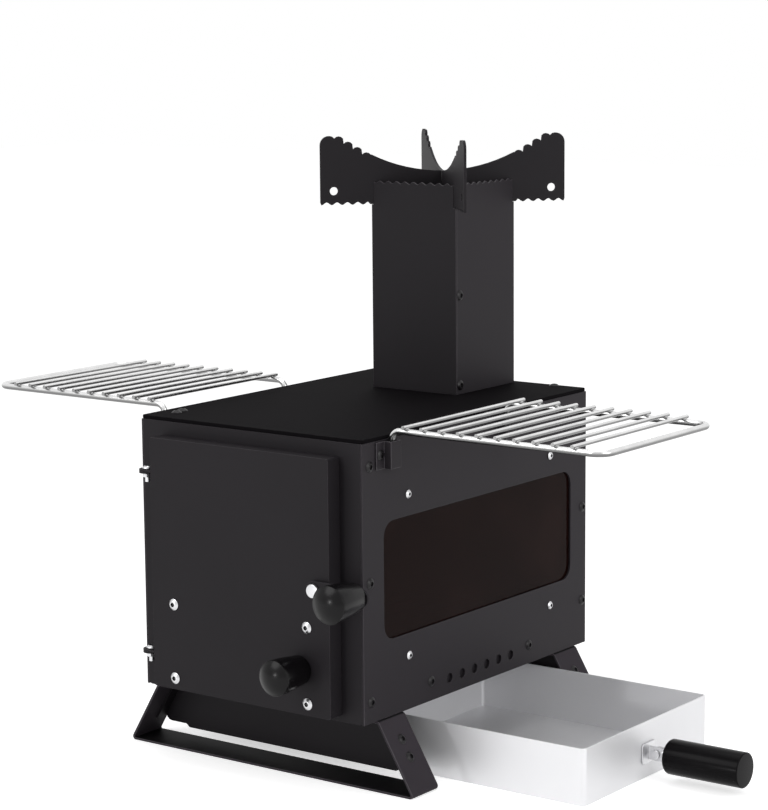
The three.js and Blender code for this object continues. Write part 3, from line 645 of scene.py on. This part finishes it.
def hingeHardware(place):
    low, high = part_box(place + "_hinge_bolt")
    middle = (low + high) / 2
    seat = Vector((middle.x, middle.y, high.z - hingeBolt["height"] * mm))
    form = bmesh.new()
    profile = buttonProfile(hingeBolt, (seat.z - low.z) / mm)
    turn(form, profile, seat, (0, 0, 1), silverSides)
    standFor(place + "_hinge_bolt", form, ["zinc", "socket"], screwCrease)
    low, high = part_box(place + "_hinge_nut")
    tall = (high.z - low.z) / mm
    corner, hole, bevel, flats = (hingeNut[key] for key in ("corner", "hole", "bevel", "flats"))
    face = corner - hingeNut["chamfer"]
    form = bmesh.new()
    profile = [(hole, 0), (face, 0), (corner, bevel, flats), (corner, tall - bevel, flats),
               (face, tall), (hole, tall)]
    seat = Vector((middle.x, middle.y, low.z))
    turn(form, profile, seat, (0, 0, 1), silverSides, ring=True)
    standFor(place + "_hinge_nut", form, ["zinc"], screwCrease)


for end in ("lower", "upper"):
    hingeHardware(end)

latchBolt = {"radius": 5.9, "height": 3.2, "edge": 0.7, "crown": 0.35, "shank": 3.8, "steps": 4,
             "flatShare": 0.45, "flatDrop": 0.25, "sides": 48}
latchWasher = {"rim": 6.6, "hole": 4.2, "bevel": 0.2}
pivotPin = {"radius": 2.0, "head": 4.0, "headHeight": 1.6, "wallDrop": 0.7, "rimIn": 0.3,
            "rimDrop": 0.2, "faceIn": 1, "sides": 36}


def latchHardware():
    low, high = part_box("latch_bolt")
    middle = (low + high) / 2
    seat = Vector((middle.x, low.y + latchBolt["height"] * mm, middle.z))
    radius, height, edge, crown, shank, steps = (
        latchBolt[key] for key in ("radius", "height", "edge", "crown", "shank", "steps"))
    length = (high.y - seat.y) / mm
    profile = [(0, -length), (shank, -length), (shank, 0), (radius, 0)]
    for k in range(steps + 1):
        angle = math.pi / 2 * k / steps
        rise = edge * math.sin(angle) + height - crown - edge
        profile.append((radius - edge * (1 - math.cos(angle)), rise))
    profile.append((radius * latchBolt["flatShare"], height - crown * latchBolt["flatDrop"]))
    profile.append((0, height))
    form = bmesh.new()
    turn(form, profile, seat, (0, -1, 0), latchBolt["sides"])
    standFor("latch_bolt", form, ["zinc"], screwCrease)
    low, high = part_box("latch_washer")
    thick = (high.y - low.y) / mm
    rim, hole, bevel = (latchWasher[key] for key in ("rim", "hole", "bevel"))
    profile = [(hole, 0), (rim - bevel, 0), (rim, bevel), (rim, thick - bevel),
               (rim - bevel, thick), (hole, thick)]
    seat = Vector((middle.x, high.y, middle.z))
    form = bmesh.new()
    turn(form, profile, seat, (0, -1, 0), latchBolt["sides"], ring=True)
    standFor("latch_washer", form, ["zinc"], screwCrease)


def handlePin():
    low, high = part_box("handle_pin")
    half = (high.y - low.y) / 2 / mm
    radius, head = pivotPin["radius"], pivotPin["head"]
    seat = half - pivotPin["headHeight"]
    end = [(radius, seat), (head, seat), (head, half - pivotPin["wallDrop"]),
           (head - pivotPin["rimIn"], half - pivotPin["rimDrop"]),
           (head - pivotPin["faceIn"], half), (0, half)]
    other = [(reach, -distance) for reach, distance in reversed(end)]
    form = bmesh.new()
    turn(form, other + end, (low + high) / 2, (0, 1, 0), pivotPin["sides"])
    standFor("handle_pin", form, ["zinc"], screwCrease)


latchHardware()
handlePin()
print("stove: fasteners made")


# side racks

rack = {"y": 121, "halfSpan": 85, "rod": 2.8, "x": 124.2, "outer": 329.4, "height": 306.3,
        "foot": 276.6, "shoulder": 9, "corner": 13, "stops": 10, "sides": 20, "crease": 50}
bars = {"count": 10, "first": 139, "pitch": 18.2, "radius": 1.75, "halfLength": 90, "sink": 0.4,
        "endLength": 0.6, "tip": 0.3, "steps": 4, "sides": 14}
weld = {"length": 3.6, "radius": 1.9, "stops": 6, "sink": 0.75, "tip": 0.2, "sides": 10}


def wireRack(node, side):
    def spot(x, y, z):
        return place(side * x, y, z)

    form = bmesh.new()
    front, back = rack["y"] - rack["halfSpan"], rack["y"] + rack["halfSpan"]
    inner, outer, height, foot = (rack[key] for key in ("x", "outer", "height", "foot"))
    line = [(inner, front, foot), (inner, front, height), (outer, front, height),
            (outer, back, height), (inner, back, height), (inner, back, foot)]
    bends = ("shoulder", "shoulder", "corner", "corner", "shoulder", "shoulder")
    rounds = [rack[key] * mm for key in bends]
    wire = filleted([spot(*corner) for corner in line], rounds, rack["stops"])
    tube(form, wire, [rack["rod"]] * len(wire), rack["sides"])
    barHeight = height + rack["rod"] + bars["radius"] - bars["sink"]
    thick, steps = bars["radius"], bars["steps"]
    for k in range(bars["count"]):
        x = bars["first"] + k * bars["pitch"]
        ends = []
        for step in range(steps + 1):
            angle = math.pi / 2 * step / steps
            short = thick * bars["endLength"] * (1 - math.cos(angle))
            ends.append((bars["halfLength"] - short, thick * math.cos(angle)))
        half = [(reach, max(size, bars["tip"])) for reach, size in ends[::-1]]
        stations = [(-reach, size) for reach, size in half] + half[::-1]
        points = [spot(x, rack["y"] + reach, barHeight) for reach, _ in stations]
        tube(form, points, [size for _, size in stations], bars["sides"])
        for y in (front, back):
            shares = [2 * step / weld["stops"] - 1 for step in range(weld["stops"] + 1)]
            low = barHeight - thick * weld["sink"]
            points = [spot(x, y + share * weld["length"], low) for share in shares]
            swell = [weld["radius"] * math.sqrt(1 - share * share) for share in shares]
            tube(form, points, [max(size, weld["tip"]) for size in swell], weld["sides"])
    standFor(node, form, ["chrome"], rack["crease"])


wireRack("right_rack", 1)
wireRack("left_rack", -1)
print("stove: racks bent and welded")


# camera, lamps, background and floor

view = {"yaw": 36.561, "pitch": 9.032, "roll": -0.485, "spot": (1358.84, -1639.42, 658.45),
        "focal": 2557.36, "frameHeight": 810, "sensor": 36, "near": 0.05, "far": 60}


def makeCamera():
    yaw, pitch, roll = (math.radians(view[key]) for key in ("yaw", "pitch", "roll"))
    level = math.cos(pitch)
    ahead = Vector((-math.sin(yaw) * level, math.cos(yaw) * level, -math.sin(pitch)))
    right = Vector((math.cos(yaw), math.sin(yaw), 0))
    up = right.cross(ahead)
    tiltedRight = right * math.cos(roll) + up * math.sin(roll)
    tiltedUp = up * math.cos(roll) - right * math.sin(roll)
    camera = bpy.data.objects.new("camera", bpy.data.cameras.new("camera"))
    bpy.context.scene.collection.objects.link(camera)
    facing = Matrix((tiltedRight, tiltedUp, -ahead)).transposed()
    camera.matrix_world = Matrix.Translation(place(*view["spot"])) @ facing.to_4x4()
    camera.data.lens = view["focal"] * view["sensor"] / view["frameHeight"]
    camera.data.sensor_width = view["sensor"]
    camera.data.clip_start = view["near"]
    camera.data.clip_end = view["far"]
    bpy.context.scene.camera = camera


lamps = {
    "key": {"spot": (-700, -1500, 1500), "size": 1.3, "power": 13},
    "side": {"spot": (1800, -200, 900), "size": 1.4, "power": 11},
    "top": {"spot": (0, 400, 2200), "size": 1.6, "power": 8},
    "glint": {"spot": (-500, -2300, 300), "size": 0.13, "power": 5},
}
lampAim = (0, 170, 200)


def makeLamp(name, spot, size, power):
    data = bpy.data.lights.new(name, "AREA")
    data.shape = "DISK"
    data.size = size
    data.energy = power
    lamp = bpy.data.objects.new(name, data)
    bpy.context.scene.collection.objects.link(lamp)
    lamp.location = place(*spot)
    toStove = place(*lampAim) - lamp.location
    lamp.rotation_euler = toStove.to_track_quat("-Z", "Y").to_euler()


studio = {"light": 0.55, "seen": 1.0, "floor": 0.88, "floorShade": 0.985, "floorLift": 0.53,
          "floorSize": 14, "floorDrop": 0.02}


def makeWorld():
    paint = Paint(bpy.data.worlds.new("studio"))
    extra = studio["seen"] - studio["light"]
    paint.surface(Color=(1, 1, 1), Strength=studio["light"] + extra * paint.seen())
    bpy.context.scene.world = paint.owner


def makeFloor():
    paint = Paint(bpy.data.materials.new("paleFloor"))
    pale, shaded = gray(studio["floor"]), gray(studio["floor"] * studio["floorShade"])
    paint.surface(
        Base_Color=paint.blend(paint.noise(3, detail=3), pale, shaded),
        Roughness=0.9,
        Specular_IOR_Level=0.1,
        Emission_Color=paint.blend(paint.seen(), gray(0), gray(studio["floorLift"])),
        Emission_Strength=1.0,
    )
    half = studio["floorSize"] / 2
    corners = [(-half, -half, 0), (half, -half, 0), (half, half, 0), (-half, half, 0)]
    mesh = bpy.data.meshes.new("floor")
    mesh.from_pydata(corners, [], [(0, 1, 2, 3)])
    mesh.materials.append(paint.owner)
    floor = bpy.data.objects.new("floor", mesh)
    floor.location = (0, 0, -studio["floorDrop"] * mm)
    bpy.context.scene.collection.objects.link(floor)


makeCamera()
for name, lamp in lamps.items():
    makeLamp(name, **lamp)
makeWorld()
makeFloor()
bpy.context.scene.view_settings.view_transform = "Standard"
print("stove: stage set")

bpy.context.view_layer.update()
